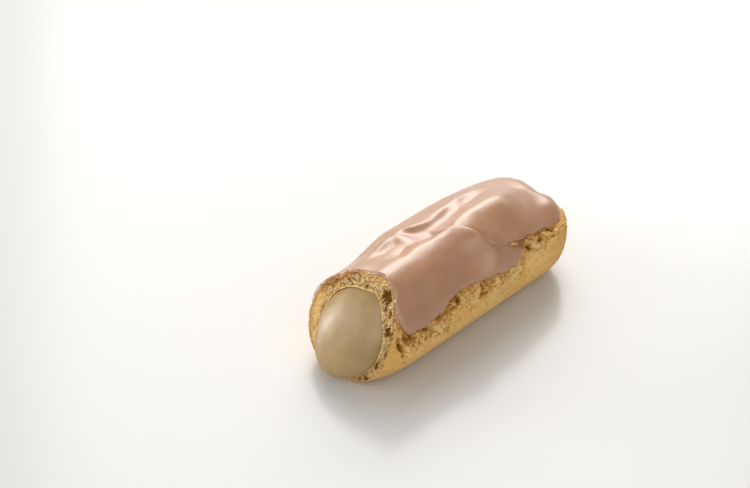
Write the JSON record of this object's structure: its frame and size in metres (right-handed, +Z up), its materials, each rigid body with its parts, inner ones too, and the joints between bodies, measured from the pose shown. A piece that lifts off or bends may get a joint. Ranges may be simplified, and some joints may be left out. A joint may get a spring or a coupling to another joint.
{
  "type": "eclair",
  "caption": "Choux eclair with folded milk-chocolate icing, cut across its end to show porous crumb and a cream filling that swells out.",
  "frame": {"origin": "on the flat underside, midway across the straight run, where the eclair rests", "axes": "+X along the length from the cut end to the round end, +Y to the eclair's left, +Z up"},
  "size_m": [0.1205, 0.0478, 0.0419],
  "materials": {
    "choux": "baked golden crust, dry and slightly rough",
    "cream": "smooth satin coffee-coloured custard cream",
    "icing": "satin milk-chocolate icing"
  },
  "bodies": {
    "root": {"choux_shell": "choux", "cream_filling": "cream", "icing": "icing"}
  },
  "joints": []
}
